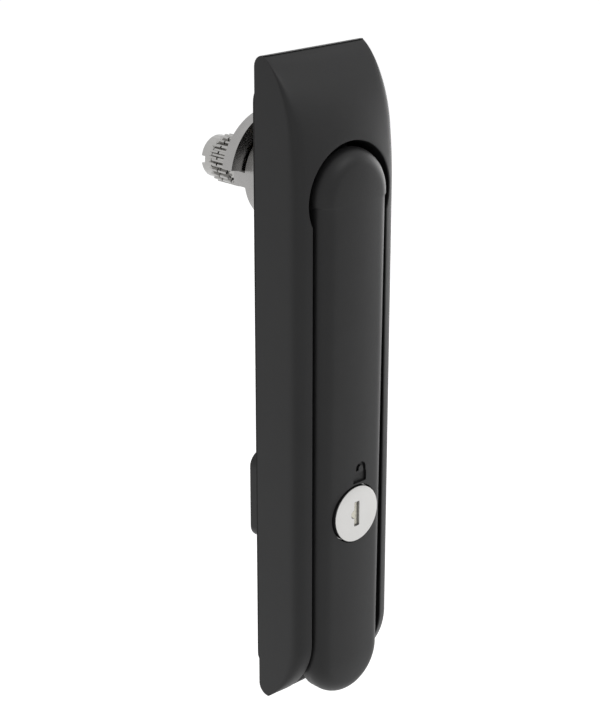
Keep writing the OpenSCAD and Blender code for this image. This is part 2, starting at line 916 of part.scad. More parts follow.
// Spindle: collar, journal, squared seat of the disc, shaft, serrations and slotted end
module spindle() {
    color([0.75, 0.75, 0.75])
    difference() {
        union() {
            rod_y(collar_radius, gap, gap + collar_length, spindle_z);
            rod_y(journal_radius, gap, disc_start - 2 * fit, spindle_z);
            rod_y(shaft_radius, disc_end - slip, serration_end, spindle_z);
            intersection() {
                rod_y(seat_radius, disc_start - slip, disc_end, spindle_z);
                block([-square_half, disc_start - gap, spindle_z - square_half],
                    [square_half, disc_end, spindle_z + square_half]);
            }
            serration_ring(serration_start, serration_start + serration_row);
            serration_ring(serration_end - serration_row, serration_end);
            rod_y(spindle_end_radius, serration_end - slip, spindle_reach - end_chamfer, spindle_z);
            rod_y(spindle_end_radius - end_chamfer, serration_end, spindle_reach, spindle_z);
        }
        difference() {
            rod_y(far, ring_start - fit, ring_start + ring_thickness + fit, spindle_z);
            rod_y(groove_radius, 0, far, spindle_z);
        }
        block([-far, spindle_reach - end_slot_depth, spindle_z - end_slot / 2],
            [far, far, spindle_z + end_slot / 2]);
    }
}

// Thick sector disc that limits the turn of the spindle to a quarter
module stop_disc() {
    color([0.72, 0.72, 0.7])
    along_y(disc_start, disc_end)
        translate([0, spindle_z])
            difference() {
                union() {
                    circle(r = lug_inner - gap);
                    ring_sector(lug_inner - over, disc_radius, disc_span[0], disc_span[1]);
                }
                intersection() {
                    circle(r = seat_radius + fit);
                    square(2 * square_half + 2 * fit, center = true);
                }
            }
}

// Thin washer between the bearing and the stop disc
module thrust_washer() {
    color([0.8, 0.7, 0.45])
    along_y(bearing_height + fit, disc_start - slip)
        translate([0, spindle_z])
            difference() {
                circle(r = lug_inner - gap);
                circle(r = journal_radius + 2 * fit);
            }
}

ring_rim = 2.4;
ring_mouth = 4.4;
// Open retaining ring in the groove behind the stop disc
module retaining_ring() {
    color([0.5, 0.5, 0.52])
    along_y(ring_start, ring_start + ring_thickness)
        translate([0, spindle_z])
            difference() {
                circle(r = shaft_radius + ring_rim);
                circle(r = groove_radius + 2 * fit);
                translate([-ring_mouth / 2, -far]) square([ring_mouth, far]);
            }
}

housing();
gasket();
spindle_bearing();
bearing_screws();
pivot_block();
pivot_bushes();
seal_ring();
lock_box();
box_screws();
catch_plate();
fixing_inserts();
lever_buffers();
lever();
pivot_pin();
lock_barrel();
barrel_clip();
lock_plug();
lock_face();
lock_wafers();
lock_tongue();
tongue_screw();
keyway_shutter();
spindle();
stop_disc();
thrust_washer();
retaining_ring();
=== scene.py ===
"""Swing handle latch: the finished pieces, their materials, the light and the camera.

Sizes of the pieces are millimetres, and a mesh is turned into metres when its piece is
finished. Sizes of the studio are metres. X runs across the handle, Y from its front to the
door, Z upwards, and the origin is the centre of the back face of the housing.
"""

import logging
import math
from dataclasses import dataclass
from enum import Enum
from typing import Callable, Optional, Sequence

import bmesh
import bpy
from bmesh.types import BMesh, BMVert
from bpy.types import NodeSocket, NodeTree
from mathutils import Matrix, Vector


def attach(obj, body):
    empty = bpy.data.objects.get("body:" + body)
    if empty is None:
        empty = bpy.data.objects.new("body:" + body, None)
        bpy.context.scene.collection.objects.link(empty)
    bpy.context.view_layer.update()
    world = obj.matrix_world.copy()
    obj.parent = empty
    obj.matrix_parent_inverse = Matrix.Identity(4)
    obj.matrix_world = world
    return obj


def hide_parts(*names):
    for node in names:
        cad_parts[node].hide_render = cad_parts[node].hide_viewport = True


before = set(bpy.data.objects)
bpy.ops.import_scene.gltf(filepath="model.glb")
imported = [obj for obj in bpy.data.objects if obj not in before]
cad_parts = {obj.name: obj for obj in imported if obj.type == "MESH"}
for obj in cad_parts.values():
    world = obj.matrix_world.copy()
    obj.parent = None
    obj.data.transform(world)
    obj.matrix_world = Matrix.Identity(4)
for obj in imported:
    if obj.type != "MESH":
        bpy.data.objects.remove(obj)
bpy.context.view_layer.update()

MM = 0.001
WELD = 0.002
FINE_WELD = WELD / 4
OVER = 1.0
FLAT_ANGLE = 0.6
QUARTER_TURN = 90
EDGE_STEPS = 4
BEVEL_STEPS = 3
log = logging.getLogger("latch")
Point = tuple[float, float]


class Body(Enum):
    """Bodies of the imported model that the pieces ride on."""

    BASE = "base"
    LEVER = "lever"
    PLUG = "plug"
    SHUTTER = "shutter"
    SPINDLE = "spindle"


class Slot(Enum):
    """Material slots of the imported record."""

    MOULDING = "black_moulding"
    RUBBER = "rubber_black"
    ZINC = "zinc_cast"
    STEEL = "steel_bright"
    SPRING = "steel_spring"
    BRASS = "brass_turned"
    CHROME = "lock_chrome"
    BUSH = "bush_natural"
    SHUTTER = "shutter_cream"


# Mesh making


def warped_grid(bm: BMesh, columns: int, rows: int, place: Callable[[int, int], Vector]) -> None:
    """Adds a grid of faces and lays each of its corners where a rule says.

    Args:
        bm: The mesh that the grid joins.
        columns: Number of faces along the first direction.
        rows: Number of faces along the second direction.
        place: Gives the place of the corner at a column and a row.
    """
    made = bmesh.ops.create_grid(bm, x_segments=columns, y_segments=rows, size=1.0)["verts"]
    for vert in made:
        column = round((vert.co.x + 1) / 2 * columns)
        row = round((vert.co.y + 1) / 2 * rows)
        vert.co = place(column, row)


def close_shell(bm: BMesh) -> None:
    """Mirrors a left half, welds it, fills flat openings and turns its faces outwards."""
    bmesh.ops.remove_doubles(bm, verts=bm.verts, dist=WELD)
    bmesh.ops.mirror(bm, geom=bm.verts[:] + bm.edges[:] + bm.faces[:], axis="X",
                     merge_dist=WELD)
    bmesh.ops.remove_doubles(bm, verts=bm.verts, dist=WELD)
    bmesh.ops.dissolve_degenerate(bm, dist=WELD, edges=bm.edges)
    open_edges = [edge for edge in bm.edges if edge.is_boundary]
    if open_edges:
        bmesh.ops.holes_fill(bm, edges=open_edges, sides=0)
    bmesh.ops.recalc_face_normals(bm, faces=bm.faces)


def round_bar(
    radius: float, low: float, high: float, height: float = 0.0, side: float = 0.0,
    edge: float = 0.0, segments: int = 96,
) -> BMesh:
    """Makes a round bar along Y as a closed mesh.

    Args:
        radius: Radius of the bar.
        low: Y of its front end.
        high: Y of its back end.
        height: Z of its axis.
        side: X of its axis.
        edge: Rounding of both end edges.
        segments: Number of faces round the bar.
    """
    profile = [(0.0, low)]
    if edge:
        angles = [math.pi / 2 * step / EDGE_STEPS for step in range(EDGE_STEPS + 1)]
        profile += [(radius - edge + edge * math.sin(angle),
                     low + edge - edge * math.cos(angle)) for angle in angles]
        profile += [(radius - edge + edge * math.cos(angle),
                     high - edge + edge * math.sin(angle)) for angle in angles]
    else:
        profile += [(radius, low), (radius, high)]
    profile.append((0.0, high))
    return turned(profile, height, side, segments)


def turned(
    profile: Sequence[Point], height: float, side: float = 0.0, segments: int = 96,
    closed: bool = False,
) -> BMesh:
    """Turns a profile of radius and Y round an axis along Y into a closed mesh.

    Args:
        profile: Radius and Y of each point.
        height: Z of the axis.
        side: X of the axis.
        segments: Number of steps round the axis.
        closed: Whether the profile's last point joins its first, as on a ring.
    """
    bm = bmesh.new()
    verts = [bm.verts.new((radius, y, 0.0)) for radius, y in profile]
    pairs = list(zip(verts, verts[1:]))
    if closed:
        pairs.append((verts[-1], verts[0]))
    for first, second in pairs:
        bm.edges.new((first, second))
    bmesh.ops.spin(
        bm, geom=bm.verts[:] + bm.edges[:], cent=(0, 0, 0), axis=(0, 1, 0),
        angle=math.tau, steps=segments, use_merge=True, use_duplicate=False,
    )
    bmesh.ops.remove_doubles(bm, verts=bm.verts, dist=FINE_WELD)
    bmesh.ops.recalc_face_normals(bm, faces=bm.faces)
    bmesh.ops.translate(bm, verts=bm.verts, vec=(side, 0, height))
    return bm


def prism(outline: Sequence[Point], low: float, high: float) -> BMesh:
    """Extrudes an outline of X and Z along Y into a closed mesh.

    Args:
        outline: X and Z of each corner.
        low: Y of the front face.
        high: Y of the back face.
    """
    bm = bmesh.new()
    corners = [bm.verts.new((x, low, z)) for x, z in outline]
    loop = [bm.edges.new(pair) for pair in zip(corners, corners[1:] + corners[:1])]
    face = bmesh.ops.contextual_create(bm, geom=loop)["faces"]
    made = bmesh.ops.extrude_face_region(bm, geom=face)["geom"]
    moved = [item for item in made if isinstance(item, BMVert)]
    bmesh.ops.translate(bm, verts=moved, vec=(0, high - low, 0))
    bmesh.ops.recalc_face_normals(bm, faces=bm.faces)
    return bm


def block(low: Sequence[float], high: Sequence[float]) -> BMesh:
    """Makes a block between two corners, as a cutter or a rib."""
    return prism(
        [(low[0], low[2]), (high[0], low[2]), (high[0], high[2]), (low[0], high[2])],
        low[1], high[1],
    )


def shares(steps: int) -> list[float]:
    """Gives the ends of equal steps, as shares of the way."""
    return [i / steps for i in range(1, steps + 1)]


def arc_points(
    centre: Point, radius: float, start: float, end: float, steps: int
) -> list[Point]:
    """Gives points along an arc, in degrees counted from X towards Z."""
    return [
        (centre[0] + radius * math.cos(math.radians(start + (end - start) * i / steps)),
         centre[1] + radius * math.sin(math.radians(start + (end - start) * i / steps)))
        for i in range(steps + 1)
    ]


def rounded_outline(
    width: float, height: float, corner: float, middle: float, steps: int = 8
) -> list[Point]:
    """Gives the outline of a rounded rectangle centred on X 0 and a given Z."""
    across, up = width / 2 - corner, height / 2 - corner
    points: list[Point] = []
    for number, (sx, sz) in enumerate(((1, 1), (-1, 1), (-1, -1), (1, -1))):
        start = QUARTER_TURN * number
        points += arc_points((sx * across, middle + sz * up), corner, start,
                             start + QUARTER_TURN, steps)
    return points


def linked(name: str, data: bpy.types.ID) -> bpy.types.Object:
    """Makes an object of some data and links it to the scene."""
    made = bpy.data.objects.new(name, data)
    bpy.context.scene.collection.objects.link(made)
    return made


class Join(Enum):
    """Ways in which one solid changes another."""

    CUT = "DIFFERENCE"
    ADD = "UNION"
    KEEP = "INTERSECT"


def combine(target: BMesh, tool: BMesh, how: Join) -> BMesh:
    """Cuts, joins or trims one closed solid by another.

    Args:
        target: The solid that is changed; it is used up.
        tool: The other solid; it is used up.
        how: What the tool does to the target.
    """
    objects = []
    for name, solid in (("target", target), ("tool", tool)):
        mesh = bpy.data.meshes.new(name)
        solid.to_mesh(mesh)
        solid.free()
        objects.append(linked(name, mesh))
    modifier = objects[0].modifiers.new("combine", "BOOLEAN")
    modifier.operation = how.value
    modifier.solver = "EXACT"
    modifier.object = objects[1]
    graph = bpy.context.evaluated_depsgraph_get()
    result = bmesh.new()
    result.from_object(objects[0], graph)
    for made in objects:
        mesh = made.data
        bpy.data.objects.remove(made)
        bpy.data.meshes.remove(mesh)
    bmesh.ops.remove_doubles(result, verts=result.verts, dist=FINE_WELD)
    return result


def finish_piece(
    bm: BMesh, name: str, body: Body, nodes: Sequence[str], slot: Slot,
    edge: float = 0.0, smooth_to: float = 35.0,
) -> bpy.types.Object:
    """Turns a mesh in millimetres into a finished piece of the latch.

    Args:
        bm: The mesh; it is used up.
        name: Name of the piece.
        body: Body that the piece rides on.
        nodes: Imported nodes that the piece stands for.
        slot: Material slot that gives its finish.
        edge: Rounding of its edges in millimetres, or 0 for none.
        smooth_to: Angle in degrees up to which an edge is shaded as smooth.
    """
    bmesh.ops.scale(bm, vec=(MM, MM, MM), verts=bm.verts)
    mesh = bpy.data.meshes.new(name)
    bm.to_mesh(mesh)
    bm.free()
    mesh.shade_smooth()
    mesh.set_sharp_from_angle(angle=math.radians(smooth_to))
    piece = linked(name, mesh)
    if edge:
        rounding = piece.modifiers.new("edge rounding", "BEVEL")
        rounding.width = edge * MM
        rounding.segments = BEVEL_STEPS
        rounding.limit_method = "ANGLE"
        rounding.angle_limit = math.radians(smooth_to)
        rounding.harden_normals = True
        rounding.use_clamp_overlap = True
    mesh.materials.append(FINISHES[slot].material())
    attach(piece, body.value)
    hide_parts(*nodes)
    log.info("%s: %d faces, on %s", name, len(mesh.polygons), body.value)
    return piece


def node_mesh(node: str) -> BMesh:
    """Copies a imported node's mesh in millimetres, merged and with its flat faces joined."""
    bm = bmesh.new()
    bm.from_mesh(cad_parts[node].data)
    bmesh.ops.scale(bm, vec=(1 / MM, 1 / MM, 1 / MM), verts=bm.verts)
    bmesh.ops.remove_doubles(bm, verts=bm.verts, dist=WELD / 2)
    bmesh.ops.dissolve_limit(
        bm, angle_limit=math.radians(FLAT_ANGLE), verts=bm.verts, edges=bm.edges,
    )
    return bm


# Finishes


class NodeBoard:
    """A material's node tree with its main shader, and short ways to add to it."""

    def __init__(self, name: str) -> None:
        """Starts an empty material with a Principled shader."""
        self.material = bpy.data.materials.new(name)
        self.material.use_nodes = True
        self.tree = self.material.node_tree
        self.tree.nodes.clear()
        self.shader = self.tree.nodes.new("ShaderNodeBsdfPrincipled")
        output = self.tree.nodes.new("ShaderNodeOutputMaterial")
        self.link(self.shader.outputs["BSDF"], output.inputs["Surface"])
        self.object_coords = self.tree.nodes.new("ShaderNodeTexCoord").outputs["Object"]

    def link(self, start: NodeSocket, end: NodeSocket) -> None:
        """Links two sockets."""
        self.tree.links.new(start, end)

    def mapped(self, stretch: Sequence[float]) -> NodeSocket:
        """Gives object coordinates stretched along the axes."""
        node = self.tree.nodes.new("ShaderNodeMapping")
        node.inputs["Scale"].default_value = stretch
        self.link(self.object_coords, node.inputs["Vector"])
        return node.outputs["Vector"]

    def noise(
        self, coords: NodeSocket, scale: float, detail: float, roughness: float
    ) -> NodeSocket:
        """Gives a noise of a given scale, in periods per metre."""
        node = self.tree.nodes.new("ShaderNodeTexNoise")
        node.inputs["Scale"].default_value = scale
        node.inputs["Detail"].default_value = detail
        node.inputs["Roughness"].default_value = roughness
        self.link(coords, node.inputs["Vector"])
        return node.outputs["Fac"]

    def ranged(
        self, value: NodeSocket, low: float, high: float,
        start: float = 0.3, end: float = 0.7,
    ) -> NodeSocket:
        """Maps a value from start and end to low and high."""
        node = self.tree.nodes.new("ShaderNodeMapRange")
        node.inputs["From Min"].default_value = start
        node.inputs["From Max"].default_value = end
        node.inputs["To Min"].default_value = low
        node.inputs["To Max"].default_value = high
        self.link(value, node.inputs["Value"])
        return node.outputs["Result"]

    def blend(
        self, factor: NodeSocket, first: Sequence[float], second: Sequence[float]
    ) -> NodeSocket:
        """Mixes two colours by a factor."""
        node = self.tree.nodes.new("ShaderNodeMix")
        node.data_type = "RGBA"
        ends = [socket for socket in node.inputs if socket.type == "RGBA"]
        for socket, colour in zip(ends, (first, second)):
            socket.default_value = (*colour, 1.0)
        self.link(factor, node.inputs["Factor"])
        return next(s for s in node.outputs if s.type == "RGBA")

    def bump(
        self, height: NodeSocket, distance: float, strength: float = 1.0,
        under: Optional[NodeSocket] = None,
    ) -> NodeSocket:
        """Turns a height into a normal, on top of another if given."""
        node = self.tree.nodes.new("ShaderNodeBump")
        node.inputs["Strength"].default_value = strength
        node.inputs["Distance"].default_value = distance
        self.link(height, node.inputs["Height"])
        if under is not None:
            self.link(under, node.inputs["Normal"])
        return node.outputs["Normal"]


def shade(colour: Sequence[float], factor: float) -> tuple[float, float, float]:
    """Makes a colour lighter or darker by a factor."""
    return tuple(min(1.0, part * factor) for part in colour)


@dataclass(frozen=True)
class Finish:
    """A finish with a colour, a gloss and a fine texture of its own."""

    name: str
    colour: tuple[float, float, float]
    roughness: float
    spread: float = 0.05
    variation: float = 0.08
    grain: float = 5000.0
    grain_depth: float = 0.00001
    specular: float = 0.5
    metallic: float = 0.0
    cloud: float = 90.0

    def material(self) -> bpy.types.Material:
        """Builds the material, or gives the one already built."""
        known = bpy.data.materials.get(self.name)
        if known:
            return known
        board = NodeBoard(self.name)
        self.dress(board)
        return board.material

    def dress(self, board: NodeBoard) -> None:
        """Sets colour, gloss and relief on the board's shader."""
        shader = board.shader
        shader.inputs["Metallic"].default_value = self.metallic
        shader.inputs["Specular IOR Level"].default_value = self.specular
        cloud = board.noise(board.object_coords, self.cloud, detail=4.0, roughness=0.6)
        board.link(
            board.blend(board.ranged(cloud, 0.0, 1.0),
                        shade(self.colour, 1 - self.variation),
                        shade(self.colour, 1 + self.variation)),
            shader.inputs["Base Color"])
        pattern = self.pattern(board)
        board.link(
            board.ranged(pattern, self.roughness - self.spread, self.roughness + self.spread),
            shader.inputs["Roughness"])
        board.link(self.relief(board, pattern), shader.inputs["Normal"])

    def pattern(self, board: NodeBoard) -> NodeSocket:
        """Gives the fine pattern that varies the gloss and makes the relief."""
        return board.noise(board.object_coords, self.grain, detail=2.0, roughness=0.55)

    def relief(self, board: NodeBoard, pattern: NodeSocket) -> NodeSocket:
        """Turns the fine pattern into a normal."""
        return board.bump(pattern, self.grain_depth)


@dataclass(frozen=True)
class MouldedPlastic(Finish):
    """Moulded plastic with an eroded grain over a coarser one."""

    coarseness: float = 3.0
    coarse_depth: float = 1.5

    def relief(self, board: NodeBoard, pattern: NodeSocket) -> NodeSocket:
        """Turns the fine pattern into a normal, on top of a coarser grain."""
        coarse = board.noise(board.object_coords, self.grain / self.coarseness,
                             detail=3.0, roughness=0.6)
        under = board.bump(coarse, self.grain_depth * self.coarse_depth, strength=0.6)
        return board.bump(pattern, self.grain_depth, strength=0.8, under=under)


@dataclass(frozen=True)
class MachinedMetal(Finish):
    """Metal with fine tool marks that run round the Y axis."""

    lines: float = 9000.0
    across: float = 0.02

    def pattern(self, board: NodeBoard) -> NodeSocket:
        """Gives fine lines that lie across Y."""
        coords = board.mapped((self.across, 1.0, self.across))
        return board.noise(coords, self.lines, detail=2.0, roughness=0.5)

    def relief(self, board: NodeBoard, pattern: NodeSocket) -> NodeSocket:
        """Turns the lines into a shallow normal."""
        return board.bump(pattern, self.grain_depth, strength=0.5)


FINISHES: dict[Slot, Finish] = {
    Slot.MOULDING: MouldedPlastic(
        "black_moulding_grained", colour=(0.013, 0.013, 0.0135), roughness=0.46,
        variation=0.1, grain=5200.0, grain_depth=0.000012, specular=0.28),
    Slot.RUBBER: MouldedPlastic(
        "rubber_black_matt", colour=(0.012, 0.012, 0.012), roughness=0.72, spread=0.06,
        variation=0.15, grain=2600.0, grain_depth=0.00002, specular=0.25),
    Slot.ZINC: Finish(
        "zinc_cast_plated", colour=(0.34, 0.335, 0.33), roughness=0.26, spread=0.06,
        grain=2400.0, metallic=1.0),
    Slot.STEEL: MachinedMetal(
        "steel_bright_plated", colour=(0.38, 0.375, 0.365), roughness=0.17,
        variation=0.06, grain_depth=0.000006, metallic=1.0),
    Slot.SPRING: MachinedMetal(
        "steel_spring_dark", colour=(0.3, 0.3, 0.31), roughness=0.32, spread=0.06,
        grain_depth=0.000006, metallic=1.0),
    Slot.BRASS: MachinedMetal(
        "brass_turned_fine", colour=(0.7, 0.52, 0.24), roughness=0.27, spread=0.06,
        variation=0.06, grain_depth=0.000006, metallic=1.0),
    Slot.CHROME: Finish(
        "lock_chrome_satin", colour=(0.535, 0.53, 0.52), roughness=0.22, spread=0.03,
        variation=0.02, grain=4200.0, grain_depth=0.000003, metallic=1.0),
    Slot.BUSH: Finish(
        "bush_natural_acetal", colour=(0.6, 0.57, 0.48), roughness=0.45,
        variation=0.05, grain=2600.0),
    Slot.SHUTTER: Finish(
        "shutter_pressed_metal", colour=(0.58, 0.56, 0.48), roughness=0.35, spread=0.04,
        variation=0.06, grain=2600.0, grain_depth=0.000006, metallic=0.8),
}


# Sub-assemblies


@dataclass
class HousingShell:
    """Long moulded housing with swept ends, a channel and a round pocket for the lever."""

    half_length: float = 100.0
    half_width: float = 19.6
    side_depth: float = 12.2
    front_depth: float = 20.3
    corner_share: float = 0.65
    corner_run: float = 5.1
    corner_fullness: float = 4.0
    end_sweep: float = 22.9
    crown_sweep: float = 40.0
    foot_sweep: float = 22.0
    nose_radius: float = 3.4
    crest_thickness: float = 0.5
    crest_crown: float = 0.4
    channel_half: float = 14.8
    pocket_radius: float = 16.1
    pocket_z: float = 59.5
    spindle_z: float = 61.5
    lock_z: float = -37.7
    floor_depth: float = 5.0
    lip_radius: float = 0.4
    skin_rows: int = 30
    skin_crowding: float = 3.2
    lip_rows: int = 5
    floor_columns: int = 6
    nose_steps: int = 6
    swept_steps: int = 16
    swept_crowding: float = 1.3
    straight_steps: int = 12
    blend_steps: int = 5
    side_steps: int = 20
    top_steps: int = 14
    floor_hole: float = 9.0
    window_half: float = 10.6
    window_corner: float = 2.5
    post_radius: float = 5.4
    post_height: float = 10.6
    post_edge: float = 0.5
    insert_radius: float = 3.52
    insert_length: float = 8.0
    insert_segments: int = 48
    seat_width: float = 28.9
    seat_height: float = 39.1
    seat_corner: float = 5.0
    seat_depth: float = 2.4
    fixing_heights: tuple[float, float] = (87.0, -66.0)

    def side_at(self, z: float) -> float:
        """Gives the depth of the flat side at a height."""
        reach = self.end_sweep * math.sqrt(1 - (self.nose_radius / self.side_depth) ** 2)
        run = abs(z) - (self.half_length - reach)
        if run <= 0:
            return self.side_depth
        return max(self.side_depth * math.sqrt(max(0.0, 1 - (run / self.end_sweep) ** 2)),
                   self.back_at(z) + self.crest_thickness)

    def crown_at(self, z: float) -> float:
        """Gives the rise of the crown over the side at a height."""
        full = self.front_depth - self.side_depth
        sweep = self.crown_sweep if z > 0 else self.foot_sweep
        run = abs(z) - (self.half_length - sweep)
        if run <= 0:
            return full
        return max(full * math.cos(math.pi / 2 * run / sweep), self.crest_crown)

    def back_at(self, z: float) -> float:
        """Gives the depth of the rounded back edge at a height."""
        run = abs(z) - (self.half_length - self.nose_radius)
        if run <= 0:
            return 0.0
        return self.nose_radius - math.sqrt(max(0.0, self.nose_radius ** 2 - run ** 2))

    def front_at(self, x: float, z: float) -> float:
        """Gives the depth of the outer skin at a place in the front view."""
        run = max(0.0, (abs(x) - (self.half_width - self.corner_run)) / self.corner_run)
        corner = max(0.0, 1 - run ** self.corner_fullness) ** (1 / self.corner_fullness)
        arch = 1 - (x / self.half_width) ** 2
        rise = self.corner_share * corner + (1 - self.corner_share) * arch
        return self.side_at(z) + self.crown_at(z) * rise

    def nose_heights(self) -> list[float]:
        """Gives the heights of the stations along the rounded nose, from low to high."""
        start = self.half_length - self.nose_radius
        return [start + self.nose_radius * math.sin(math.pi / 2 * i / self.nose_steps)
                for i in range(self.nose_steps + 1)]

    def junction_at(self, offset: float) -> float:
        """Gives the height where the channel meets the pocket, both moved out by an offset."""
        radius, half = self.pocket_radius + offset, self.channel_half + offset
        return self.pocket_z - math.sqrt(radius ** 2 - half ** 2)

    def line_heights(self) -> list[float]:
        """Gives the heights of the stations along the channel, from low to high."""
        nose = [-z for z in reversed(self.nose_heights())]
        swept_end = -(self.half_length - self.foot_sweep)
        swept = [nose[-1] + (swept_end - nose[-1]) * share ** self.swept_crowding
                 for share in shares(self.swept_steps)]
        top = self.junction_at(0.0)
        straight = [swept_end + (top - swept_end) * share
                    for share in shares(self.straight_steps)]
        return nose + swept + straight

    def outer_points(self) -> tuple[list[Point], int, int]:
        """Gives the stations round the outline of the left half.

        Returns:
            X and Z of each station, the number of the station where the channel meets the
            pocket, and the number of the one at the upper corner.
        """
        side = [(-self.half_width, z) for z in self.line_heights()]
        junction = len(side) - 1
        low = side[-1][1]
        side += [(-self.half_width, low + (self.pocket_z - low) * share)
                 for share in shares(self.blend_steps)]
        nose = self.nose_heights()
        side += [(-self.half_width, self.pocket_z + (nose[0] - self.pocket_z) * share)
                 for share in shares(self.side_steps)]
        side += [(-self.half_width, z) for z in nose[1:]]
        corner = len(side) - 1
        side += [(-self.half_width * (1 - share), self.half_length)
                 for share in shares(self.top_steps)]
        return side, junction, corner

    def lip_point(self, outer: Point, station: int, junction: int, offset: float) -> Point:
        """Gives X and Z of the channel's edge, moved out by an offset, for a station.

        Args:
            outer: The station's point on the outline.
            station: Number of the station.
            junction: Number of the station where the channel meets the pocket.
            offset: Distance from the wall of the channel.
        """
        if station < junction:
            return (-self.channel_half - offset, outer[1])
        top = self.junction_at(offset)
        radius = self.pocket_radius + offset
        if outer[1] < self.pocket_z:
            start = self.junction_at(0.0)
            share = (self.pocket_z - outer[1]) / (self.pocket_z - start)
            angle = math.pi + share * math.asin((self.pocket_z - top) / radius)
        else:
            angle = math.atan2(outer[1] - self.pocket_z, outer[0])
        return (radius * math.cos(angle), self.pocket_z + radius * math.sin(angle))

    def build(self) -> BMesh:
        """Builds the whole housing as a closed mesh."""
        bm = bmesh.new()
        outer, junction, corner = self.outer_points()
        last = len(outer) - 1
        lip_end = self.skin_rows + self.lip_rows

        def skin(column: int, row: int) -> Vector:
            """Places the arched front, the rounded lip and the channel's wall."""
            edge = outer[column]
            if row <= self.skin_rows:
                start = self.lip_point(edge, column, junction, self.lip_radius)
                share = 1 - (row / self.skin_rows) ** self.skin_crowding
                x = start[0] + (edge[0] - start[0]) * share
                z = start[1] + (edge[1] - start[1]) * share
                return Vector((x, -self.front_at(x, z), z))
            angle = math.pi / 2 * min(1.0, (row - self.skin_rows) / self.lip_rows)
            offset = self.lip_radius * (1 - math.sin(angle))
            x, z = self.lip_point(edge, column, junction, offset)
            front = self.front_at(x, z)
            if row > lip_end:
                return Vector((x, -min(self.floor_depth, front), z))
            drop = min(self.lip_radius, max(0.0, front - self.floor_depth))
            return Vector((x, -(front - drop * (1 - math.cos(angle))), z))

        def side(column: int, row: int) -> Vector:
            """Places the flat side."""
            z = outer[column][1]
            depth = self.side_at(z) if row else self.back_at(z)
            return Vector((-self.half_width, -depth, z))

        def floor(column: int, row: int) -> Vector:
            """Places the channel's floor."""
            x = -self.channel_half * (1 - row / self.floor_columns)
            z = outer[column][1]
            return Vector((x, -min(self.floor_depth, self.front_at(x, z)), z))

        def top_end(column: int, row: int) -> Vector:
            """Places the front of the upper end."""
            x, z = outer[corner + column]
            return Vector((x, -(self.front_at(x, z) if row else self.back_at(z)), z))

        nose = self.nose_heights()

        def upper_nose(column: int, row: int) -> Vector:
            """Places the rounded back edge of the upper end."""
            return Vector((outer[corner + column][0], -self.back_at(nose[row]), nose[row]))

        def lower_nose(column: int, row: int) -> Vector:
            """Places the rounded back edge of the lower end."""
            x = -self.half_width * (1 - column)
            return Vector((x, -self.back_at(nose[row]), -nose[row]))

        warped_grid(bm, last, lip_end + 1, skin)
        warped_grid(bm, corner, 1, side)
        warped_grid(bm, junction, self.floor_columns, floor)
        warped_grid(bm, last - corner, 1, top_end)
        warped_grid(bm, last - corner, len(nose) - 1, upper_nose)
        warped_grid(bm, 1, len(nose) - 1, lower_nose)
        close_shell(bm)
        return self.drilled(bm)

    def drilled(self, bm: BMesh) -> BMesh:
        """Adds the insert post and cuts the openings and seats."""
        low_fixing = self.fixing_heights[1]
        post = round_bar(self.post_radius, -self.post_height, -OVER, low_fixing,
                         edge=self.post_edge)
        bm = combine(bm, post, Join.ADD)
        hole = round_bar(self.floor_hole, -self.floor_depth - OVER, OVER, self.spindle_z)
        bm = combine(bm, hole, Join.CUT)
        window = rounded_outline(2 * self.window_half, 2 * self.window_half,
                                 self.window_corner, self.lock_z)
        bm = combine(bm, prism(window, -self.floor_depth - OVER, OVER), Join.CUT)
        for height in (self.spindle_z, self.lock_z):
            seat = rounded_outline(self.seat_width, self.seat_height, self.seat_corner, height)
            bm = combine(bm, prism(seat, -self.seat_depth, OVER), Join.CUT)
        for height in self.fixing_heights:
            hole = round_bar(self.insert_radius, -self.insert_length, OVER, height,
                             segments=self.insert_segments)
            bm = combine(bm, hole, Join.CUT)
        return bm

    def make(self) -> None:
        """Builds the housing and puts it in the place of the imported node."""
        finish_piece(self.build(), "housing_shell", Body.BASE, ["housing"], Slot.MOULDING)


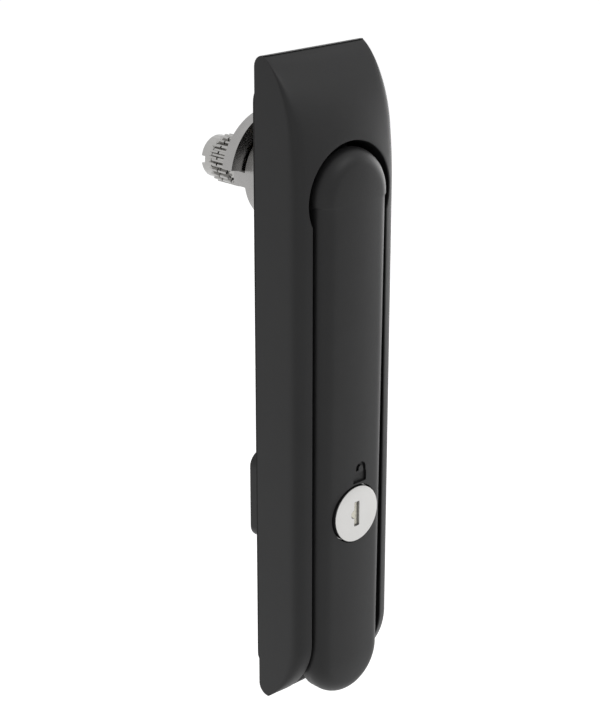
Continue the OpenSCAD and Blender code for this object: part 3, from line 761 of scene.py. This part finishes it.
@dataclass
class SwingLever:
    """Domed lever with ribs behind it, ears on the pin and a seat for the lock."""

    half: float = 13.7
    head_radius: float = 14.2
    head_z: float = 59.5
    crest: float = 22.7
    back: float = 7.3
    end_z: float = -99.8
    tilt: float = 0.4
    corner: float = 5.6
    corner_share: float = 0.15
    least_corner: float = 2.0
    arch: float = 0.7
    wall: float = 2.4
    arch_steps: int = 8
    corner_steps: int = 12
    side_steps: int = 4
    dome_steps: int = 24
    bar_steps: int = 40
    shoulder_steps: int = 6
    scoop_length: float = 15.0
    scoop_depth: float = 12.5
    spindle_z: float = 61.5
    pivot_depth: float = 12.0
    pin_radius: float = 2.52
    pin_segments: int = 64
    skirt_depth: float = 16.3
    head_step: float = 1.0
    head_lead: float = 1.5
    lock_z: float = -37.7
    rim_radius: float = 9.3
    rim_back: float = 19.0
    rim_segments: int = 128
    barrel_radius: float = 8.5
    boss_radius: float = 10.9
    boss_room: float = 2.0
    boss_end: float = 9.5
    ear_inner: float = 9.1
    ear_radius: float = 5.2
    ear_inset: float = 0.5
    rib: float = 1.5
    rib_inset: float = 0.8
    rib_pitch: float = 15.0
    rib_depth: float = 10.3
    rib_start: float = 4.0
    rib_end: float = 14.3
    spine_side: float = 5.0
    spine_depth: float = 17.9
    spine_end: float = 12.0
    fixing_z: float = -66.0
    post_room: float = 7.4
    sign_z: float = -25.75
    sign_side: float = 1.55
    sign_back: float = 21.2
    sign_half: float = 2.8
    sign_height: float = 3.2
    sign_drop: float = 0.6
    stroke: float = 1.15
    bow: float = 1.55
    bow_side: float = 0.35
    bow_rise: float = 1.2
    bow_end: float = 0.5
    bow_root: float = 0.3
    bow_steps: int = 16

    def section(self, half: float, front: float, back: float, corner: float) -> list[Point]:
        """Gives the distance from the middle and the depth of points round half a section.

        Args:
            half: Half width of the section.
            front: Depth of the crest.
            back: Depth of the back edge.
            corner: Radius of the front corner.
        """
        flat = half - corner
        slope = 2 * self.arch / (flat + corner * self.corner_share)
        start = math.atan(slope)
        joint = flat + corner * math.sin(start)
        centre = front - slope * joint / 2 - corner * math.cos(start)
        outs = [joint * i / self.arch_steps for i in range(self.arch_steps)]
        points = [(out, front - slope / (2 * joint) * out ** 2) for out in outs]
        for share in [0.0] + shares(self.corner_steps):
            angle = start + (math.pi / 2 - start) * share
            points.append((flat + corner * math.sin(angle), centre + corner * math.cos(angle)))
        points += [(half, centre + (back - centre) * share)
                   for share in shares(self.side_steps)]
        return points + [(0.0, back)]

    def stations(self, inset: float) -> list[tuple[float, float, float]]:
        """Gives the stations along the lever, smaller all round by an inset.

        Returns:
            Half width, height of the centre and angle of the section at each station, the
            angle in radians from pointing left, up being positive.
        """
        half, head = self.half - inset, self.head_radius - inset
        tip = self.end_z + self.half
        rows = [(half, tip, -math.pi / 2 * (1 - i / self.dome_steps))
                for i in range(self.dome_steps)]
        bar_end = self.head_z - self.head_lead * self.head_step
        rows += [(half, tip + (bar_end - tip) * share, 0.0)
                 for share in [0.0] + shares(self.bar_steps)]
        for share in shares(self.shoulder_steps):
            wide = half + (head - half) * (3 * share ** 2 - 2 * share ** 3)
            rows.append((wide, bar_end + share * self.head_step, 0.0))
        rows += [(head, self.head_z, math.pi / 2 * share)
                 for share in shares(self.dome_steps)]
        return rows

    def form(self, inset: float) -> BMesh:
        """Builds the lever's form, turned by its tilt and smaller all round by an inset."""
        rows = self.stations(inset)
        back = self.back - (OVER if inset else 0.0)
        corner = max(self.corner - inset, self.least_corner)
        sections = {half: self.section(half, self.crest - inset, back, corner)
                    for half in {row[0] for row in rows}}
        size = len(next(iter(sections.values())))

        def place(column: int, row: int) -> Vector:
            """Places a section's point at a station."""
            half, centre, angle = rows[column]
            out, depth = sections[half][row]
            return Vector((-out * math.cos(angle), -depth, centre + out * math.sin(angle)))

        bm = bmesh.new()
        warped_grid(bm, len(rows) - 1, size - 1, place)
        close_shell(bm)
        bmesh.ops.rotate(bm, verts=bm.verts, cent=(0, -self.pivot_depth, self.spindle_z),
                         matrix=Matrix.Rotation(math.radians(self.tilt), 3, "X"))
        return bm

    def cross_bar(self, radius: float, low: float, high: float) -> BMesh:
        """Makes a round bar along X on the pivot's axis."""
        bm = round_bar(radius, low, high, segments=self.pin_segments)
        bmesh.ops.rotate(bm, verts=bm.verts, cent=(0, 0, 0),
                         matrix=Matrix.Rotation(-math.pi / 2, 3, "Z"))
        bmesh.ops.translate(bm, verts=bm.verts, vec=(0, -self.pivot_depth, self.spindle_z))
        return bm

    def rib_heights(self) -> list[float]:
        """Gives the heights of the ribs, clear of the lock and of the insert post."""
        first = self.end_z + self.half + self.rib_start
        last = self.spindle_z - self.rib_end
        count = int((last - first) // self.rib_pitch) + 1
        heights = [first + i * self.rib_pitch for i in range(count)]
        return [z for z in heights
                if abs(z - self.lock_z) > self.boss_radius + self.boss_room
                and abs(z - self.fixing_z) > self.post_room]

    def inside(self) -> BMesh:
        """Builds the ribs and the lock's boss behind the lever."""
        tip = self.end_z + self.half
        wide = self.head_radius
        bm = round_bar(self.boss_radius, -self.crest, -self.boss_end, self.lock_z)
        for z in self.rib_heights():
            rib = block((-wide, -self.crest, z - self.rib / 2),
                        (wide, -self.rib_depth, z + self.rib / 2))
            bm = combine(bm, rib, Join.ADD)
        for side in (-1, 1):
            middle = side * self.spine_side
            spine = block((middle - self.rib / 2, -self.crest, tip),
                          (middle + self.rib / 2, -self.spine_depth,
                           self.spindle_z - self.spine_end))
            bm = combine(bm, spine, Join.ADD)
        return combine(bm, self.form(self.rib_inset), Join.KEEP)

    def sign(self) -> list[BMesh]:
        """Gives the cutters of the open padlock pictogram above the lock."""
        middle = self.sign_side
        base = self.sign_z - self.sign_height / 2 - self.sign_drop
        top = base + self.sign_height
        low, high = -self.crest - OVER, -self.sign_back
        body = [(middle - self.sign_half, base), (middle + self.sign_half, base),
                (middle + self.sign_half, top), (middle - self.sign_half, top)]
        centre = (middle + self.bow_side, top + self.bow_rise)
        outer = arc_points(centre, self.bow + self.stroke / 2, 0, 180, self.bow_steps)
        inner = arc_points(centre, self.bow - self.stroke / 2, 180, 0, self.bow_steps)
        left_low, right_low = centre[1] - self.bow_end, top - self.bow_root
        bow_line = ([(outer[0][0], right_low)] + outer
                    + [(outer[-1][0], left_low), (inner[0][0], left_low)] + inner
                    + [(inner[-1][0], right_low)])
        return [prism(body, low, high), prism(bow_line, low, high)]

    def build(self) -> BMesh:
        """Builds the whole lever as a closed mesh."""
        wide = 2 * self.head_radius
        bm = self.form(0.0)
        bm = combine(bm, self.form(self.wall), Join.CUT)
        rear = block((-wide, -self.skirt_depth, self.spindle_z - self.head_step),
                     (wide, OVER, self.spindle_z + wide))
        bm = combine(bm, rear, Join.CUT)
        bm = combine(bm, self.inside(), Join.ADD)
        for side in (-1, 1):
            low, high = sorted((side * self.ear_inner, side * (self.half - self.ear_inset)))
            bm = combine(bm, self.cross_bar(self.ear_radius, low, high), Join.ADD)
        bm = combine(bm, self.cross_bar(self.pin_radius, -wide, wide), Join.CUT)
        front = -self.crest - OVER
        rim = round_bar(self.rim_radius, front, -self.rim_back, self.lock_z,
                        segments=self.rim_segments)
        bm = combine(bm, rim, Join.CUT)
        bm = combine(bm, round_bar(self.barrel_radius, front, OVER, self.lock_z), Join.CUT)
        scoop = block((-wide, -self.scoop_depth, self.end_z - OVER),
                      (wide, OVER, self.end_z + self.scoop_length))
        bm = combine(bm, scoop, Join.CUT)
        for cutter in self.sign():
            bm = combine(bm, cutter, Join.CUT)
        return bm

    def make(self) -> None:
        """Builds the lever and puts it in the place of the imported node."""
        finish_piece(self.build(), "lever_body", Body.LEVER, ["lever"], Slot.MOULDING)


@dataclass
class LockFront:
    """Bright face of the lock, its dark rim, the keyway with a thin dark sleeve of painted shade
    on its wall, and the dust shutter in it.
    """

    lock_z: float = -37.7
    face_radius: float = 8.8
    face_depth: float = 22.45
    face_back: float = 20.35
    face_edge: float = 0.12
    bevel_share: float = 0.3
    rim_wall: float = 0.35
    rim_setback: float = 0.35
    key_width: float = 2.0
    key_height: float = 7.8
    key_corner: float = 0.2
    key_steps: int = 4
    bulge_radius: float = 1.3
    bulge_side: float = -1.0
    bulge_segments: int = 40
    # Wall and setback of the dark sleeve in the keyway, which is painted shade for the keyway's
    # wall.
    shade_sleeve_wall: float = 0.12
    shade_sleeve_setback: float = 0.03
    fit: float = 0.01
    segments: int = 160
    shutter_depth: float = 21.75
    shutter_back: float = 20.55
    shutter_play: float = 0.1

    def keyhole(self, grow: float, low: float, high: float) -> BMesh:
        """Makes a solid of the keyway's shape, larger all round by an amount."""
        slot = rounded_outline(self.key_width + 2 * grow, self.key_height + 2 * grow,
                               self.key_corner + max(grow, 0.0), self.lock_z,
                               self.key_steps)
        bm = prism(slot, low, high)
        bulge = round_bar(self.bulge_radius + grow, low, high, self.lock_z, self.bulge_side,
                          segments=self.bulge_segments)
        return combine(bm, bulge, Join.ADD)

    def face(self) -> BMesh:
        """Builds the bright disc with its keyway."""
        disc_radius = self.face_radius - self.rim_wall
        front, back = -self.face_depth, -self.face_back
        seat = front + self.rim_setback
        bevel = self.bevel_share * self.face_edge
        profile = [(0.0, front), (self.face_radius - self.face_edge, front),
                   (self.face_radius - bevel, front + bevel),
                   (self.face_radius, front + self.face_edge), (self.face_radius, seat),
                   (disc_radius, seat), (disc_radius, back), (0.0, back)]
        bm = turned(profile, self.lock_z, segments=self.segments)
        # The keyway is cut wider by the wall of the painted-shade sleeve that sits in it.
        return combine(bm, self.keyhole(self.shade_sleeve_wall, front - OVER, back + OVER), Join.CUT)

    def rim(self) -> BMesh:
        """Builds the dark ring round the disc's side."""
        inner, outer = self.face_radius - self.rim_wall + self.fit, self.face_radius
        low, high = -self.face_depth + self.rim_setback + self.fit, -self.face_back
        profile = [(inner, low), (outer, low), (outer, high), (inner, high)]
        return turned(profile, self.lock_z, segments=self.segments, closed=True)

    def shade_sleeve(self) -> BMesh:
        """Builds a thin dark sleeve on the keyway's wall, painted shade that stands for the wall
        in shadow.
        """
        front, back = -self.face_depth + self.shade_sleeve_setback, -self.face_back
        return combine(self.keyhole(self.shade_sleeve_wall - self.fit / 2, front, back),
                       self.keyhole(0.0, front - OVER, back + OVER), Join.CUT)

    def shutter(self) -> BMesh:
        """Builds the dust shutter with its round bulge."""
        return self.keyhole(-self.shutter_play, -self.shutter_depth, -self.shutter_back)

    def make(self) -> None:
        """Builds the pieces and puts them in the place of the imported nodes."""
        finish_piece(self.face(), "lock_face_disc", Body.PLUG, ["lock_face"], Slot.CHROME)
        finish_piece(self.rim(), "lock_face_rim", Body.PLUG, ["lock_face"], Slot.MOULDING)
        # The keyway's dark sleeve is painted shade on the keyway's wall.
        finish_piece(self.shade_sleeve(), "keyway_shade_sleeve", Body.PLUG, ["lock_face"], Slot.SPRING)
        finish_piece(self.shutter(), "keyway_shutter_blade", Body.SHUTTER, ["keyway_shutter"],
                     Slot.SHUTTER)


@dataclass
class CarriedPieces:
    """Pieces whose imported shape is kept, with their edges rounded."""

    small_edge: float = 0.08
    edge: float = 0.2
    box_edge: float = 0.5

    def make(self) -> None:
        """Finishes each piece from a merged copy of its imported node."""
        rows = [
            ("gasket", Body.BASE, Slot.RUBBER, self.edge),
            ("spindle_bearing", Body.BASE, Slot.ZINC, self.edge),
            ("bearing_screws", Body.BASE, Slot.STEEL, 0.0),
            ("pivot_block", Body.BASE, Slot.ZINC, self.edge),
            ("pivot_bushes", Body.BASE, Slot.BUSH, self.small_edge),
            ("seal_ring", Body.BASE, Slot.RUBBER, 0.0),
            ("lock_box", Body.BASE, Slot.MOULDING, self.box_edge),
            ("box_screws", Body.BASE, Slot.STEEL, 0.0),
            ("catch_plate", Body.BASE, Slot.STEEL, self.small_edge),
            ("fixing_inserts", Body.BASE, Slot.BRASS, self.small_edge),
            ("lever_buffers", Body.BASE, Slot.RUBBER, self.small_edge),
            ("pivot_pin", Body.LEVER, Slot.STEEL, self.edge),
            ("lock_barrel", Body.LEVER, Slot.ZINC, self.small_edge),
            ("barrel_clip", Body.LEVER, Slot.SPRING, self.small_edge),
            ("lock_plug", Body.PLUG, Slot.BRASS, self.small_edge),
            ("lock_wafers", Body.PLUG, Slot.BRASS, 0.0),
            ("lock_tongue", Body.PLUG, Slot.STEEL, self.small_edge),
            ("tongue_screw", Body.PLUG, Slot.STEEL, self.small_edge),
            ("spindle", Body.SPINDLE, Slot.STEEL, self.small_edge),
            ("stop_disc", Body.SPINDLE, Slot.ZINC, self.edge),
            ("thrust_washer", Body.SPINDLE, Slot.BRASS, 0.0),
            ("retaining_ring", Body.SPINDLE, Slot.SPRING, self.small_edge),
        ]
        for node, body, slot, edge in rows:
            finish_piece(node_mesh(node), node + "_finished", body, [node], slot, edge)


# Studio


@dataclass
class SoftLight:
    """A large soft lamp that looks at the middle of the latch."""

    name: str
    place: tuple[float, float, float]
    width: float
    height: float
    power: float

    def make(self) -> None:
        """Hangs the lamp."""
        lamp = bpy.data.lights.new(self.name, "AREA")
        lamp.energy = self.power
        lamp.shape = "RECTANGLE"
        lamp.size, lamp.size_y = self.width, self.height
        made = linked(self.name, lamp)
        made.location = self.place
        away = Vector(self.place)
        made.rotation_euler = away.to_track_quat("Z", "Y").to_euler()


@dataclass
class Studio:
    """Pale floor, white surroundings, soft lamps and the camera of the photograph."""

    azimuth: float = -44.12
    elevation: float = 20.235
    distance: float = 0.5422
    target: tuple[float, float, float] = (-0.00194, 0.0, 0.00592)
    focal_px: float = 1813.4
    frame_px: float = 720.0
    sensor: float = 36.0
    near: float = 0.01
    far: float = 50.0
    floor_z: float = -0.22
    floor_size: float = 12.0
    floor_tone: float = 0.9
    ambient: float = 0.3
    floor_lift: float = 0.75

    def camera(self) -> None:
        """Places the camera at the photograph's viewing angle."""
        data = bpy.data.cameras.new("camera")
        data.sensor_width = self.sensor
        data.sensor_fit = "AUTO"
        data.lens = self.focal_px * self.sensor / self.frame_px
        data.clip_start, data.clip_end = self.near, self.far
        made = linked("camera", data)
        turn, rise = math.radians(self.azimuth), math.radians(self.elevation)
        away = Vector((math.sin(turn) * math.cos(rise), -math.cos(turn) * math.cos(rise),
                       math.sin(rise)))
        made.location = Vector(self.target) + away * self.distance
        made.rotation_euler = away.to_track_quat("Z", "Y").to_euler()
        bpy.context.scene.camera = made

    def seen_factor(self, tree: NodeTree) -> NodeSocket:
        """Gives 1 for what the camera sees, straight or by a glossy or clear surface."""
        path = tree.nodes.new("ShaderNodeLightPath")
        total = path.outputs["Is Camera Ray"]
        for name in ("Is Glossy Ray", "Is Transmission Ray"):
            node = tree.nodes.new("ShaderNodeMath")
            node.operation = "MAXIMUM"
            tree.links.new(total, node.inputs[0])
            tree.links.new(path.outputs[name], node.inputs[1])
            total = node.outputs[0]
        return total

    def surroundings(self) -> None:
        """Makes the world white where it is seen and dimmer where it lights the latch."""
        world = bpy.data.worlds.new("studio")
        world.use_nodes = True
        tree = world.node_tree
        tree.nodes.clear()
        output = tree.nodes.new("ShaderNodeOutputWorld")
        back = tree.nodes.new("ShaderNodeBackground")
        back.inputs["Color"].default_value = (1.0, 1.0, 1.0, 1.0)
        strength = tree.nodes.new("ShaderNodeMapRange")
        strength.inputs["To Min"].default_value = self.ambient
        strength.inputs["To Max"].default_value = 1.0
        tree.links.new(self.seen_factor(tree), strength.inputs["Value"])
        tree.links.new(strength.outputs["Result"], back.inputs["Strength"])
        tree.links.new(back.outputs["Background"], output.inputs["Surface"])
        bpy.context.scene.world = world

    def floor(self) -> None:
        """Lays a pale floor that keeps the shadow of the latch."""
        bm = bmesh.new()
        bmesh.ops.create_grid(bm, x_segments=1, y_segments=1, size=self.floor_size / 2)
        bmesh.ops.translate(bm, verts=bm.verts, vec=(0, 0, self.floor_z))
        mesh = bpy.data.meshes.new("floor")
        bm.to_mesh(mesh)
        bm.free()
        made = linked("floor", mesh)
        material = bpy.data.materials.new("pale_floor")
        material.use_nodes = True
        tree = material.node_tree
        tree.nodes.clear()
        output = tree.nodes.new("ShaderNodeOutputMaterial")
        matt = tree.nodes.new("ShaderNodeBsdfDiffuse")
        matt.inputs["Color"].default_value = (*[self.floor_tone] * 3, 1.0)
        glow = tree.nodes.new("ShaderNodeEmission")
        lift = tree.nodes.new("ShaderNodeMath")
        lift.operation = "MULTIPLY"
        lift.inputs[1].default_value = self.floor_lift
        tree.links.new(self.seen_factor(tree), lift.inputs[0])
        tree.links.new(lift.outputs[0], glow.inputs["Strength"])
        both = tree.nodes.new("ShaderNodeAddShader")
        tree.links.new(matt.outputs[0], both.inputs[0])
        tree.links.new(glow.outputs[0], both.inputs[1])
        tree.links.new(both.outputs[0], output.inputs["Surface"])
        mesh.materials.append(material)

    def make(self) -> None:
        """Sets up the whole studio."""
        self.camera()
        self.surroundings()
        self.floor()
        lamps = (
            SoftLight("right_panel", (1.1, 0.0, -0.12), width=0.8, height=0.9, power=7.0),
            SoftLight("top_panel", (0.3, -0.76, 1.0), width=0.6, height=0.5, power=3.2),
            SoftLight("left_fill", (-1.0, -0.7, 0.1), width=1.0, height=1.4, power=0.8),
        )
        for lamp in lamps:
            lamp.make()
        bpy.context.scene.view_settings.view_transform = "Standard"


def main() -> None:
    """Builds the studio and every sub-assembly, in order."""
    logging.basicConfig(level=logging.INFO, format="%(name)s %(message)s")
    Studio().make()
    HousingShell().make()
    SwingLever().make()
    LockFront().make()
    CarriedPieces().make()


if __name__ == "__main__":
    main()
